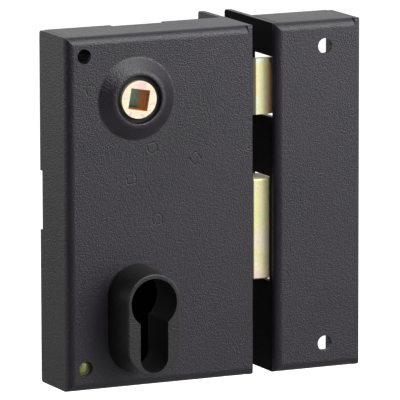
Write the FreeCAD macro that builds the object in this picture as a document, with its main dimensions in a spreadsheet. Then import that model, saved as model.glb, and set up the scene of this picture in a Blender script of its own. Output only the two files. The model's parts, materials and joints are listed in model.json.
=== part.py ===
import FreeCAD, Part
import math
import os
import re
import Sketcher

# Surface-mounted door lock for a profile cylinder, with its box keeper.
# Millimetres. X runs to the keeper, Y into the door, Z up. The origin is the
# follower's axis on the door face.

doc = FreeCAD.newDocument("DoorLock")
sheet = doc.addObject("Spreadsheet::Sheet", "Sizes")

driving_sizes = {
    # lock case
    "case_width": 71.8, "case_depth": 23.0, "follower_to_top": 22.8, "cover_sheet": 1.8,
    "bend_radius": 3.0, "backset": 45.3, "cylinder_to_bottom": 32.2, "butt_gap": 0.15,
    "edge_round": 0.8, "wall_corner_round": 1.2, "back_sheet": 1.5, "back_gap": 0.2,
    "side_notch_length": 21.0, "side_notch_depth": 1.8, "side_notch_drop": 26.7,
    "top_notch_length": 20.0, "top_notch_depth": 2.4, "top_notch_start": 0.5,
    "corner_hole_radius": 2.6, "corner_hole_inset": 6.8, "corner_hole_edge": 6.7,
    "lower_hole_edge": 8.1,
    # forend and the two plates that wrap the edges of door and frame
    "forend_sheet": 2.0, "flange_reach": 18.0, "flange_screw_radius": 2.3,
    "flange_screw_head": 3.8, "flange_screw_edge": 12.0, "cylinder_screw_radius": 2.65,
    "cylinder_screw_drop": 20.0, "cylinder_screw_head": 3.85, "plate_top_round": 1.0,
    "plate_low_round": 2.7,
    # follower and its dome
    "dome_base_radius": 14.5, "dome_rim_radius": 9.75, "dome_height": 3.1, "dome_wall": 1.0,
    "dome_hole_radius": 8.45, "dome_round": 2.4, "lip_round": 0.5, "hub_radius": 6.65, "hub_proud": 2.6,
    "base_round": 1.2, "hub_body_radius": 8.0, "barrel_tail": 1.9, "hub_body_length": 7.5,
    "spindle_square": 7.3, "square_turn": 10.0, "bush_gap": 0.08, "seat_gap": 0.1,
    "bush_flange_radius": 12.0, "bush_barrel_radius": 8.35, "bush_flange": 1.6,
    "arm_radius": 15.35, "arm_tip_radius": 2.0, "arm_start": 20.0, "arm_thick": 5.0,
    "rear_bush_radius": 8.3, "rear_bush_length": 2.4, "press_gap": 0.03, "hub_rear_gap": 0.2,
    # cylinder collar
    "cylinder_distance": 70.0, "collar_proud": 14.4, "collar_radius": 9.9, "collar_height": 36.0,
    "collar_lift": 0.4, "collar_draft": 1.3, "collar_round": 0.5, "spigot_inset": 0.6,
    "spigot_length": 2.3, "profile_radius": 8.75, "profile_slot": 10.6, "profile_height": 33.4,
    # latch
    "latch_height": 20.0, "latch_sheet": 2.2, "latch_front": 17.0, "latch_back": 4.5,
    "latch_reach": 11.7, "latch_rear": 30.0, "nose_radius": 3.1, "ramp_angle": 45.0,
    "ramp_height": 16.0, "ramp_bend": 2.7, "tail_sheet": 2.0, "tail_left": 13.5,
    "column_width": 4.5, "bridge_low": 8.6, "bridge_top": 11.5, "lug_width": 7.0, "lug_top": 18.0,
    "rail_top": 10.0, "rail_bottom": 15.3, "window_right": 19.5, "lug_gap": 0.2,
    "leg_width": 7.0, "leg_bottom": 31.0, "lever_pin_drop": 27.0, "lever_pin_radius": 1.5,
    "lever_pin_gap": 0.25, "pin_slot_height": 4.4, "pin_proud": 0.8, "tongue_length": 12.0,
    "tongue_half_height": 9.0, "tab_thick": 2.0, "tab_half_height": 4.0, "tab_back": 3.6,
    "rivet_radius": 1.8, "rivet_gap": 0.04, "rivet_spacing": 10.0, "rivet_inset": 4.0,
    # dead bolt
    "bolt_height": 36.0, "bolt_drop": 33.0, "bolt_thick": 12.0, "bolt_front": 17.0,
    "bolt_reach": 20.7, "bolt_length": 35.0, "bolt_round": 0.6, "bolt_tail_sheet": 3.0,
    "bolt_tail_front": 12.5, "bolt_tail_left": 4.0, "bolt_tail_top": 35.0,
    "bolt_tail_bottom": 60.0, "tail_overlap": 7.8, "tail_slot_gap": 0.05, "slot_gap": 0.25,
    "talon_pitch": 10.0, "talon_gap": 7.5, "talon_height": 5.0, "talon_count": 3.0,
    "detent_depth": 2.4, "detent_half": 2.6, "detent_place": 3.0, "opening_gap": 0.4,
    # studs and small springs
    "stud_radius": 2.3, "stud_screw_radius": 1.4, "stud_screw_length": 8.0,
    "plate_screw_head": 2.6, "plate_screw_slot": 0.6, "head_gap": 0.05,
    "rail_stud_x": 6.1, "rail_stud_drop": 17.9, "detent_stud_x": -2.0, "detent_stud_drop": 28.2,
    "guide_stud_x": 7.9, "guide_stud_drop": 43.1, "lever_stud_x": -17.0, "lever_stud_below": 14.0,
    "spring_post_x": 10.4, "spring_post_radius": 1.8, "spring_post_length": 8.5,
    "spring_wire": 0.7, "spring_radius": 2.6, "spring_axis_depth": 6.6, "spring_turns": 5.5,
    "spring_seat": 0.2, "detent_ring": 0.9, "detent_leaf_width": 5.0, "detent_leaf_front": 13.5,
    "spacer_radius": 4.0, "pin_radius": 2.45, "pin_sunk": 1.3,
    "pin_dome": 6.0, "pin_dome_height": 0.45,
    # key lever
    "lever_sheet": 2.0, "lever_front": 8.5, "lever_half_width": 2.2, "lever_boss_radius": 3.6,
    "lever_end_radius": 2.8, "lever_knee_x": -12.8, "lever_knee_drop": 62.0,
    "stud_running_gap": 0.08, "pin_fit": 0.02,
    # keeper
    "keeper_gap": 8.4, "keeper_width": 33.4, "keeper_sheet": 2.0, "keeper_hole_radius": 2.75,
    "keeper_hole_inset": 13.7, "keeper_hole_edge": 9.1, "latch_window_height": 21.6,
    "latch_window_front": 20.7, "bolt_window_height": 37.6, "bolt_window_front": 18.4,
    "window_back": 3.0, "flange_corner_round": 1.2, "slit_width": 0.4,
}

for row, (alias, number) in enumerate(driving_sizes.items(), start=1):
    sheet.set(f"A{row}", alias)
    sheet.set(f"B{row}", str(number))
    sheet.setAlias(f"B{row}", alias)

# places that several pieces share, worked out from the driving sizes
shared_places = {
    "case_left": "backset - case_width",
    "case_height": "follower_to_top + cylinder_distance + cylinder_to_bottom",
    "case_bottom": "follower_to_top - case_height",
    "inner_front": "cover_sheet - case_depth",
    "forend_inner": "backset - forend_sheet",
    "corner_x": "case_left + corner_hole_inset",
    "corner_top": "follower_to_top - corner_hole_edge",
    "corner_low": "case_bottom + lower_hole_edge",
    "keeper_left": "backset + keeper_gap",
    "keeper_right": "keeper_left + keeper_width",
    "tail_front": "latch_sheet - latch_front",
    "tail_back": "tail_front + tail_sheet",
    "nose_x": "backset + latch_reach - nose_radius",
    "nose_y": "nose_radius - latch_front",
    "tab_face": "latch_rear - spring_seat - tab_thick",
    "foot_z": "-cylinder_distance + profile_radius - profile_height + profile_slot / 2",
    "collar_z": "-cylinder_distance + collar_lift",
    "collar_foot_z": "collar_z + 2 * collar_radius - collar_height",
    "case_middle_z": "follower_to_top - case_height / 2",
    "stud_back": "-back_sheet",
    "barrel_back": "inner_front + seat_gap + bush_flange + barrel_tail",
    "waist_front": "barrel_back + seat_gap",
    "lever_stud_z": "-cylinder_distance - lever_stud_below",
    "lug_edge": "arm_radius * sin(arm_start * 1 deg) - arm_tip_radius - lug_gap",
    "lug_left": "lug_edge - lug_width",
    "arm_tip_z": "arm_radius * cos(arm_start * 1 deg)",
    "column_right": "-tail_left + column_width",
    "leg_right": "-tail_left + leg_width",
    "bolt_tip": "backset + bolt_reach",
    "bolt_rear": "bolt_tip - bolt_length",
    "bolt_low": "-bolt_drop - bolt_height",
    "bolt_back": "bolt_thick - bolt_front",
    "bolt_tail_right": "bolt_rear + tail_overlap",
    "bolt_tail_back": "bolt_tail_sheet - bolt_tail_front",
    "lever_pin_x": "-tail_left + leg_width / 2",
}
for row, (alias, formula) in enumerate(shared_places.items(), start=len(driving_sizes) + 1):
    sheet.set(f"A{row}", alias)
    sheet.set(f"B{row}", "=" + formula)
    sheet.setAlias(f"B{row}", alias)
doc.recompute()

aliases = set(driving_sizes) | set(shared_places)
finished = []


def bound(formula):
    """The formula with each size read from the sheet."""
    text = str(formula)
    return re.sub(r"[a-z_]+", lambda word: "Sizes." + word[0] if word[0] in aliases else word[0], text)


def size(formula):
    """A formula's value now, for the few shapes that are worked out in code."""
    value = sheet.evalExpression(bound(formula))
    return float(getattr(value, "Value", value))


def place(obj, x, y, z):
    for axis, formula in zip("xyz", (x, y, z)):
        obj.setExpression("Placement.Base." + axis, bound(formula))


def box(x, y, z):
    """A block between two formulas on each axis."""
    obj = doc.addObject("Part::Box", "Block")
    place(obj, x[0], y[0], z[0])
    for prop, span in zip(("Length", "Width", "Height"), (x, y, z)):
        obj.setExpression(prop, bound(f"({span[1]}) - ({span[0]})"))
    return obj


turn_to_y = FreeCAD.Rotation(FreeCAD.Vector(1, 0, 0), -90)
turn_to_x = FreeCAD.Rotation(FreeCAD.Vector(0, 1, 0), 90)


def rod_y(x, z, y, radius):
    """A cylinder along Y between two formulas."""
    obj = doc.addObject("Part::Cylinder", "Rod")
    obj.Placement = FreeCAD.Placement(FreeCAD.Vector(0, 0, 0), turn_to_y)
    place(obj, x, y[0], z)
    obj.setExpression("Radius", bound(radius))
    obj.setExpression("Height", bound(f"({y[1]}) - ({y[0]})"))
    return obj


def cone_y(x, z, y, first_radius, last_radius):
    obj = doc.addObject("Part::Cone", "Taper")
    obj.Placement = FreeCAD.Placement(FreeCAD.Vector(0, 0, 0), turn_to_y)
    place(obj, x, y[0], z)
    obj.setExpression("Radius1", bound(first_radius))
    obj.setExpression("Radius2", bound(last_radius))
    obj.setExpression("Height", bound(f"({y[1]}) - ({y[0]})"))
    return obj


def rod_x(y, z, x, radius):
    """A cylinder along X between two formulas."""
    obj = doc.addObject("Part::Cylinder", "CrossRod")
    obj.Placement = FreeCAD.Placement(FreeCAD.Vector(0, 0, 0), turn_to_x)
    place(obj, x[0], y, z)
    obj.setExpression("Radius", bound(radius))
    obj.setExpression("Height", bound(f"({x[1]}) - ({x[0]})"))
    return obj


def cone_x(y, z, x, first_radius, last_radius):
    obj = doc.addObject("Part::Cone", "Sink")
    obj.Placement = FreeCAD.Placement(FreeCAD.Vector(0, 0, 0), turn_to_x)
    place(obj, x[0], y, z)
    obj.setExpression("Radius1", bound(first_radius))
    obj.setExpression("Radius2", bound(last_radius))
    obj.setExpression("Height", bound(f"({x[1]}) - ({x[0]})"))
    return obj


def fuse(*shapes):
    obj = doc.addObject("Part::MultiFuse", "Joined")
    obj.Shapes = list(shapes)
    obj.Refine = True
    return obj


def cut(base, *tools):
    for tool in tools:
        obj = doc.addObject("Part::Cut", "Cut")
        obj.Base = base
        obj.Tool = tool
        base = obj
    return base


def edge_numbers(shape, spots):
    """Numbers of the edges that pass through the spots, each given by three formulas."""
    if shape.isNull():
        raise ValueError("the shape to round is empty")
    found = []
    for spot in spots:
        target = Part.Vertex(FreeCAD.Vector(*(size(formula) for formula in spot)))
        gaps = [edge.distToShape(target)[0] for edge in shape.Edges]
        if min(gaps) > 0.05:
            raise ValueError(f"no edge passes through {spot}")
        found.append(gaps.index(min(gaps)) + 1)
    return found


def rounded(base, radius, spots):
    """A copy of base with the edges at the spots rounded."""
    doc.recompute()
    obj = doc.addObject("Part::Fillet", "Rounded")
    obj.Base = base
    amount = size(radius)
    numbers = sorted(set(edge_numbers(base.Shape, spots)))
    obj.Edges = [(number, amount, amount) for number in numbers]
    return obj


def name_node(obj, label):
    obj.Label = label
    finished.append(obj)
    return obj


def add_outline(sketch, points):
    """A closed outline whose corners are each held to the origin by formulas."""
    first = sketch.GeometryCount
    spots = [FreeCAD.Vector(size(x), size(y), 0) for x, y in points]
    for here, after in zip(spots, spots[1:] + spots[:1]):
        sketch.addGeometry(Part.LineSegment(here, after), False)
    total = len(points)
    for step in range(total):
        after = first + (step + 1) % total
        sketch.addConstraint(Sketcher.Constraint("Coincident", first + step, 2, after, 1))
    for step, (x, y) in enumerate(points):
        for kind, formula, value in (("DistanceX", x, spots[step].x), ("DistanceY", y, spots[step].y)):
            number = sketch.addConstraint(Sketcher.Constraint(kind, -1, 1, first + step, 1, value))
            sketch.setExpression(f"Constraints[{number}]", bound(formula))


def add_circle(sketch, x, y, radius):
    circle = Part.Circle(FreeCAD.Vector(size(x), size(y), 0), FreeCAD.Vector(0, 0, 1), size(radius))
    ring = sketch.addGeometry(circle, False)
    for kind, formula in (("DistanceX", x), ("DistanceY", y)):
        number = sketch.addConstraint(Sketcher.Constraint(kind, -1, 1, ring, 3, size(formula)))
        sketch.setExpression(f"Constraints[{number}]", bound(formula))
    number = sketch.addConstraint(Sketcher.Constraint("Radius", ring, size(radius)))
    sketch.setExpression(f"Constraints[{number}]", bound(radius))


def plate(name, plane, level, outline, thickness, circles=(), windows=()):
    """A flat blank cut to an outline. It grows along the plane's normal from level:
    towards the viewer on XZ, towards the keeper on YZ, up on XY."""
    body = doc.addObject("PartDesign::Body", name)
    sketch = body.newObject("Sketcher::SketchObject", name + "_outline")
    side = [origin for origin in body.Origin.OriginFeatures if origin.Role == plane + "_Plane"][0]
    sketch.AttachmentSupport = [(side, "")]
    sketch.MapMode = "FlatFace"
    sketch.setExpression("AttachmentOffset.Base.z", bound(level))
    add_outline(sketch, outline)
    for window in windows:
        add_outline(sketch, window)
    for x, y, radius in circles:
        add_circle(sketch, x, y, radius)
    pad = body.newObject("PartDesign::Pad", name + "_blank")
    pad.Profile = sketch
    pad.setExpression("Length", bound(thickness))
    body.Tip = pad
    return body


def soften(body, radius, spots):
    """Rounds edges of a plate's blank."""
    doc.recompute()
    blank = body.Tip
    names = [f"Edge{number}" for number in edge_numbers(blank.Shape, spots)]
    fillet = body.newObject("PartDesign::Fillet", body.Name + "_round")
    fillet.Base = (blank, names)
    fillet.setExpression("Radius", bound(radius))
    body.Tip = fillet
    return body


def rectangle(x, y):
    return [(x[0], y[0]), (x[1], y[0]), (x[1], y[1]), (x[0], y[1])]


def tray(x, y, z, wall):
    """The outside and the hollow of a sheet folded back from a front panel along its left,
    top and bottom, with mitred corners. The right side stays open."""
    middle_x = f"(({x[0]}) + ({x[1]})) / 2"
    middle_z = f"(({z[0]}) + ({z[1]})) / 2"

    def folds(front, left, up):
        return [(left, front, middle_z), (middle_x, front, up[0]), (middle_x, front, up[1])]

    outer = rounded(box(x, y, z), "bend_radius", folds(y[0], x[0], z))
    across = (f"({x[0]}) + {wall}", f"({x[1]}) + 1")
    up = (f"({z[0]}) + {wall}", f"({z[1]}) - {wall}")
    front = f"({y[0]}) + {wall}"
    hollow = rounded(box(across, (front, "1"), up), f"bend_radius - {wall}", folds(front, across[0], up))
    return outer, hollow


def profile_way(y, gap="0"):
    """The cylinder's profile along Y: a round above a slot with a round foot."""
    half_slot = f"(profile_slot / 2 + {gap})"
    barrel = rod_y("0", "-cylinder_distance", y, f"profile_radius + {gap}")
    web = box((f"-{half_slot}", half_slot), y, ("foot_z", "-cylinder_distance"))
    foot = rod_y("0", "foot_z", y, half_slot)
    return fuse(barrel, web, foot)


def stadium(y, front_radius, back_radius):
    """The collar's outline along Y, drafted from one radius to another."""
    wedge = doc.addObject("Part::Wedge", "DraftedWeb")
    limits = {"Ymin": y[0], "Ymax": y[1], "Zmin": "collar_foot_z", "Zmax": "collar_z",
              "Z2min": "collar_foot_z", "Z2max": "collar_z", "Xmin": f"-({front_radius})",
              "Xmax": front_radius, "X2min": f"-({back_radius})", "X2max": back_radius}
    for prop, formula in limits.items():
        wedge.setExpression(prop, bound(formula))
    head = cone_y("0", "collar_z", y, front_radius, back_radius)
    foot = cone_y("0", "collar_foot_z", y, front_radius, back_radius)
    return fuse(head, wedge, foot)


def straight_stadium(y, radius):
    head = rod_y("0", "collar_z", y, radius)
    foot = rod_y("0", "collar_foot_z", y, radius)
    web = box((f"-({radius})", radius), y, ("collar_foot_z", "collar_z"))
    return fuse(head, web, foot)


def flange_screw_holes(plate_x, sink_x, sink_radii):
    """Three countersunk screw holes in a plate that wraps an edge."""
    holes = []
    for z in ("follower_to_top - flange_screw_edge", "case_middle_z", "case_bottom + flange_screw_edge"):
        holes.append(rod_x("flange_reach / 2", z, plate_x, "flange_screw_radius"))
        holes.append(cone_x("flange_reach / 2", z, sink_x, *sink_radii))
    return holes


# Lock case

case_span = (("case_left", "forend_inner"), ("-case_depth", "0"), ("case_bottom", "follower_to_top"))
corner_heights = ("corner_top", "corner_low")
case_outside, case_hollow = tray(*case_span, "cover_sheet")


def make_case_cover():
    dome_front = "-case_depth - dome_height"
    dome = cone_y("0", "0", (dome_front, "-case_depth + 0.5"), "dome_rim_radius",
                  "dome_base_radius + (dome_base_radius - dome_rim_radius) / dome_height * 0.5")
    dome = rounded(dome, "dome_round", [("0", dome_front, "dome_rim_radius")])
    pressed = fuse(case_outside, dome)
    pressed = rounded(pressed, "base_round", [("0", "-case_depth", "dome_base_radius")])
    under_dome = cone_y("0", "0", (f"{dome_front} + cover_sheet", "inner_front"),
                        "dome_rim_radius - dome_wall", "dome_base_radius - dome_wall")
    hub_hole = rod_y("0", "0", (f"{dome_front} - 1", "inner_front"), "dome_hole_radius")
    collar_hole = straight_stadium(("-case_depth - 1", "inner_front + 1"), "collar_radius - spigot_inset")
    side_notch = box(("case_left - 1", "case_left + cover_sheet + 0.5"), ("-side_notch_depth", "1"),
                     ("-side_notch_drop - side_notch_length", "-side_notch_drop"))
    top_notch = box(("top_notch_start", "top_notch_start + top_notch_length"), ("-top_notch_depth", "1"),
                    ("follower_to_top - cover_sheet - 0.5", "follower_to_top + 1"))
    slits = []
    for z in ("follower_to_top - cover_sheet - 0.5", "case_bottom - 0.5"):
        slits.append(box(("case_left + cover_sheet", "case_left + cover_sheet + butt_gap"),
                         ("bend_radius - case_depth", "1"), (z, f"{z} + cover_sheet + 1")))
    holes = [rod_y("corner_x", z, ("-case_depth - 1", "inner_front + 1"), "corner_hole_radius")
             for z in corner_heights]
    cover = cut(pressed, case_hollow, under_dome, hub_hole, collar_hole,
                side_notch, top_notch, *slits, *holes)
    cover = rounded(cover, "lip_round", [("0", dome_front, "dome_hole_radius")])
    wall_middle = "case_left + cover_sheet / 2"
    cover = rounded(cover, "wall_corner_round", [(wall_middle, "0", "follower_to_top"),
                                                 (wall_middle, "0", "case_bottom")])
    return name_node(cover, "case_cover")


def end_plate(name, x, thickness, y):
    """A flat plate across the end of a folded sheet, its outer front edge softened."""
    blank = plate(name, "YZ", x[0], rectangle(y, ("case_bottom", "follower_to_top")), thickness)
    middle = f"(({x[0]}) + ({x[1]})) / 2"
    soften(blank, "plate_low_round", [(middle, y[0], "case_bottom")])
    soften(blank, "plate_top_round", [(middle, y[0], "follower_to_top")])
    soften(blank, "flange_corner_round", [(middle, y[1], z) for z in ("case_bottom", "follower_to_top")])
    slab = box((f"{x[0]} - 1", x[1]), (y[0], f"{y[1]} + 1"), ("case_bottom - 1", "follower_to_top + 1"))
    softened = doc.addObject("Part::Common", "EndPlate")
    softened.Base = blank
    softened.Tool = rounded(slab, "edge_round", [(x[1], y[0], "case_middle_z")])
    return softened


def make_forend_plate():
    joined = end_plate("forend_blank", ("forend_inner", "backset"), "forend_sheet",
                       ("-case_depth", "flange_reach"))
    across = ("forend_inner - 1", "backset + 1")
    latch_way = box(across, ("-latch_front - opening_gap", "-latch_back + opening_gap"),
                    ("-latch_height / 2 - opening_gap", "latch_height / 2 + opening_gap"))
    bolt_way = box(across, ("-bolt_front - opening_gap", "bolt_back + opening_gap"),
                   ("bolt_low - opening_gap", "-bolt_drop + opening_gap"))
    screw_y = "-bolt_tail_front + bolt_tail_sheet / 2"
    screw_z = "-cylinder_distance - cylinder_screw_drop"
    screw_way = rod_x(screw_y, screw_z, across, "cylinder_screw_radius")
    screw_sink = cone_x(screw_y, screw_z, ("backset - cylinder_screw_head + cylinder_screw_radius", "backset"),
                        "cylinder_screw_radius", "cylinder_screw_head")
    forend = cut(joined, latch_way, bolt_way, screw_way, screw_sink,
                 *flange_screw_holes(across, ("backset - flange_screw_head + flange_screw_radius", "backset"),
                                     ("flange_screw_radius", "flange_screw_head")))
    return name_node(forend, "forend_plate")


studs = {
    "latch_rail_stud": ("rail_stud_x", "-rail_stud_drop"),
    "detent_stud": ("detent_stud_x", "-detent_stud_drop"),
    "bolt_guide_stud": ("guide_stud_x", "-guide_stud_drop"),
    "lever_pivot_stud": ("lever_stud_x", "lever_stud_z"),
}


def make_back_plate():
    edge_x = ("case_left + cover_sheet + back_gap", "forend_inner - back_gap")
    edge_z = ("case_bottom + cover_sheet + back_gap", "follower_to_top - cover_sheet - back_gap")
    circles = [("corner_x", z, "corner_hole_radius") for z in corner_heights]
    circles.append(("0", "0", "rear_bush_radius + press_gap"))
    blank = plate("back_blank", "XZ", "0", rectangle(edge_x, edge_z), "back_sheet", circles)
    sinks = [cone_y(x, z, ("-back_sheet", "0"), "plate_screw_head - back_sheet + head_gap",
                    "plate_screw_head + head_gap") for x, z in studs.values()]
    bores = [rod_y(x, z, ("-back_sheet - 1", "1"), "stud_screw_radius + head_gap") for x, z in studs.values()]
    back = cut(blank, profile_way(("-back_sheet - 1", "1"), "0.3"), *sinks, *bores)
    return name_node(back, "back_plate")


def make_studs():
    for label, (x, z) in studs.items():
        stem = rod_y(x, z, ("inner_front", "stud_back"), "stud_radius")
        bore = rod_y(x, z, ("-stud_screw_length", "0"), "stud_screw_radius + head_gap")
        name_node(cut(stem, bore), label)


def make_back_plate_screws():
    screws = []
    for x, z in studs.values():
        shank = rod_y(x, z, ("-stud_screw_length + 0.5", "-back_sheet + 0.2"), "stud_screw_radius")
        head = cone_y(x, z, ("-back_sheet", "0"), "plate_screw_head - back_sheet", "plate_screw_head")
        slot = box((f"{x} - plate_screw_head", f"{x} + plate_screw_head"), ("-0.7", "1"),
                   (f"{z} - plate_screw_slot / 2", f"{z} + plate_screw_slot / 2"))
        screws.append(cut(fuse(shank, head), slot))
    group = doc.addObject("Part::Compound", "ScrewGroup")
    group.Links = screws
    return name_node(group, "back_plate_screws")


def make_corner_spacers():
    for label, z in zip(("upper_corner_spacer", "lower_corner_spacer"), corner_heights):
        tube = rod_y("corner_x", z, ("inner_front", "stud_back"), "spacer_radius")
        bore = rod_y("corner_x", z, ("inner_front - 1", "0"), "corner_hole_radius")
        name_node(cut(tube, bore), label)


def make_corner_pin():
    dome_base = "-case_depth + pin_sunk + pin_dome_height"
    shank = rod_y("corner_x", "corner_low", (dome_base, "stud_back"), "pin_radius")
    ball = doc.addObject("Part::Sphere", "DomeBall")
    place(ball, "corner_x", "-case_depth + pin_sunk + pin_dome", "corner_low")
    ball.setExpression("Radius", bound("pin_dome"))
    cap = doc.addObject("Part::Common", "DomeCap")
    cap.Base = ball
    cap.Tool = rod_y("corner_x", "corner_low", ("-case_depth", f"{dome_base} + 0.5"), "pin_radius")
    return name_node(fuse(shank, cap), "lower_corner_pin")


def make_cylinder_collar():
    face = "-case_depth - collar_proud"
    outside = stadium((face, "-case_depth"), "collar_radius", "collar_radius + collar_draft")
    outside = rounded(outside, "collar_round", [
        ("0", face, "collar_z + collar_radius"), ("0", face, "collar_foot_z - collar_radius"),
        ("collar_radius", face, "(collar_z + collar_foot_z) / 2"),
        ("-collar_radius", face, "(collar_z + collar_foot_z) / 2")])
    spigot = straight_stadium(("-case_depth - 0.5", "-case_depth + spigot_length"),
                              "collar_radius - spigot_inset - head_gap")
    collar = cut(fuse(outside, spigot), profile_way((f"{face} - 1", "0")))
    return name_node(collar, "cylinder_collar")


# Follower

def make_follower_bushes():
    front = "-case_depth - dome_height + cover_sheet + seat_gap"
    barrel = rod_y("0", "0", (front, "barrel_back"), "bush_barrel_radius")
    flange = rod_y("0", "0", ("inner_front + seat_gap", "inner_front + seat_gap + bush_flange"),
                   "bush_flange_radius")
    bore = rod_y("0", "0", (f"{front} - 1", "0"), "hub_radius + bush_gap")
    name_node(cut(fuse(barrel, flange), bore), "front_follower_bush")
    ring = rod_y("0", "0", ("-rear_bush_length", "0"), "rear_bush_radius")
    ring_bore = rod_y("0", "0", ("-rear_bush_length - 1", "1"), "hub_radius + bush_gap")
    name_node(cut(ring, ring_bore), "rear_follower_bush")


def turned_box(angle_alias, x, y, z):
    """A block drawn upright about the follower's axis, then turned clockwise."""
    obj = doc.addObject("Part::Box", "TurnedBlock")
    turn = f"({angle_alias} * 1 deg)"
    obj.Placement = FreeCAD.Placement(FreeCAD.Vector(), FreeCAD.Rotation(FreeCAD.Vector(0, 1, 0),
                                                                        size(angle_alias)))
    place(obj, f"({x[0]}) * cos{turn} + ({z[0]}) * sin{turn}", y[0],
          f"({z[0]}) * cos{turn} - ({x[0]}) * sin{turn}")
    for prop, span in zip(("Length", "Width", "Height"), (x, y, z)):
        obj.setExpression(prop, bound(f"({span[1]}) - ({span[0]})"))
    return obj


def make_follower_hub():
    journal = rod_y("0", "0", ("-case_depth - hub_proud", "-hub_rear_gap"), "hub_radius")
    waist = rod_y("0", "0", ("waist_front", "waist_front + hub_body_length"), "hub_body_radius")
    arm_y = ("tail_front - 1.5", "tail_front - 1.5 + arm_thick")
    arm = turned_box("arm_start", ("-arm_tip_radius", "arm_tip_radius"), arm_y, ("0", "arm_radius"))
    tip = rod_y("arm_radius * sin(arm_start * 1 deg)", "arm_tip_z", arm_y, "arm_tip_radius")
    half = "spindle_square / 2"
    square = turned_box("square_turn", (f"-{half}", half), ("-case_depth - hub_proud - 1", "1"),
                        (f"-{half}", half))
    return name_node(cut(fuse(journal, waist, arm, tip), square), "follower_hub")


# Latch

def make_latch_head():
    lean = "(ramp_angle * 1 deg)"

    def nose_corner(radius):
        return f"nose_x + ({radius}) * (1 + cos{lean}) / sin{lean}"

    def ramp_foot(radius, y):
        return f"nose_x + (({radius}) - (({y}) - nose_y) * cos{lean}) / sin{lean}"

    inside = "nose_radius - latch_sheet"
    back = "-latch_back"
    back_inside = "-latch_back - latch_sheet"
    outline = [("latch_rear", "-latch_front"), (nose_corner("nose_radius"), "-latch_front"),
               (ramp_foot("nose_radius", back), back), ("latch_rear", back),
               ("latch_rear", back_inside), (ramp_foot(inside, back_inside), back_inside),
               (nose_corner(inside), "tail_front"), ("latch_rear", "tail_front")]
    strip = plate("latch_strip", "XY", "-latch_height / 2", outline, "latch_height")
    soften(strip, "nose_radius", [(nose_corner("nose_radius"), "-latch_front", "0")])
    soften(strip, inside, [(nose_corner(inside), "tail_front", "0")])
    soften(strip, "ramp_bend", [(ramp_foot("nose_radius", back), back, "0")])
    soften(strip, "ramp_bend - latch_sheet", [(ramp_foot(inside, back_inside), back_inside, "0")])
    behind = ("tail_front", "0")
    along = ("latch_rear - 1", "backset + latch_reach + 1")
    shoulders = [box(along, behind, ("ramp_height / 2", "latch_height / 2 + 1")),
                 box(along, behind, ("-latch_height / 2 - 1", "-ramp_height / 2"))]
    holes = [rod_y(x, "0", ("-latch_front - 1", "tail_front + 1"), "rivet_radius + rivet_gap")
             for x in latch_rivet_places]
    return name_node(cut(strip, *shoulders, *holes), "latch_head")


latch_rivet_places = ("latch_rear + rivet_inset", "latch_rear + rivet_inset + rivet_spacing / 2")


def make_latch_tail():
    def beside_arm(z):
        return f"({z}) * tan(arm_start * 1 deg) - (arm_tip_radius + lug_gap) / cos(arm_start * 1 deg)"

    outline = [("-tail_left", "-leg_bottom"), ("leg_right", "-leg_bottom"), ("leg_right", "-rail_bottom"),
               ("latch_rear - 1", "-rail_bottom"), ("latch_rear - 1", "-tongue_half_height"),
               ("latch_rear + tongue_length", "-tongue_half_height"),
               ("latch_rear + tongue_length", "tongue_half_height"), ("window_right", "tongue_half_height"),
               ("window_right", "-rail_top"), ("column_right", "-rail_top"), ("column_right", "bridge_low"),
               (beside_arm("bridge_low"), "bridge_low"), (beside_arm("arm_tip_z"), "arm_tip_z"),
               ("lug_edge", "arm_tip_z + 1"), ("lug_edge", "lug_top"), ("lug_left", "lug_top"),
               ("lug_left", "bridge_top"), ("-tail_left", "bridge_top")]
    half_slot = "(lever_pin_radius + lever_pin_gap)"
    pin_slot = rectangle((f"lever_pin_x - {half_slot}", f"lever_pin_x + {half_slot}"),
                         ("-lever_pin_drop - pin_slot_height / 2", "-lever_pin_drop + pin_slot_height / 2"))
    holes = [(x, "0", "rivet_radius + rivet_gap") for x in latch_rivet_places]
    blank = plate("latch_tail_blank", "XZ", "-tail_back", outline, "tail_sheet", holes, [pin_slot])
    tab = box(("tab_face", "tab_face + tab_thick"), ("tail_back - 0.5", "-tab_back"),
              ("-tab_half_height", "tab_half_height"))
    return name_node(fuse(blank, tab), "latch_tail")


def make_latch_rivets():
    rivets = []
    for x in latch_rivet_places:
        rivets.append(rod_y(x, "0", ("-latch_front", "tail_back"), "rivet_radius"))
    group = doc.addObject("Part::Compound", "LatchRivetGroup")
    group.Links = rivets
    return name_node(group, "latch_rivets")


def biarc(start, start_way, end, end_way):
    """Two arcs from start to end that leave and arrive along the given directions."""
    gap = end - start
    both = start_way + end_way
    spread = 2 * (1 - start_way.dot(end_way))
    reach = (-gap.dot(both) + math.sqrt(gap.dot(both) ** 2 + spread * gap.dot(gap))) / spread
    joint = (start + start_way * reach + end - end_way * reach) * 0.5
    return [arc_along(start, start_way, joint), arc_along(end, end_way * -1, joint)]


def arc_along(start, way, end):
    chord = end - start
    along = FreeCAD.Vector(chord).normalize()
    aside = way - along * way.dot(along)
    bulge = chord.Length / 2 * math.tan(way.getAngle(chord) / 2)
    middle = (start + end) * 0.5 + aside.normalize() * bulge
    return Part.Arc(start, middle, end).toShape()


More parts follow.
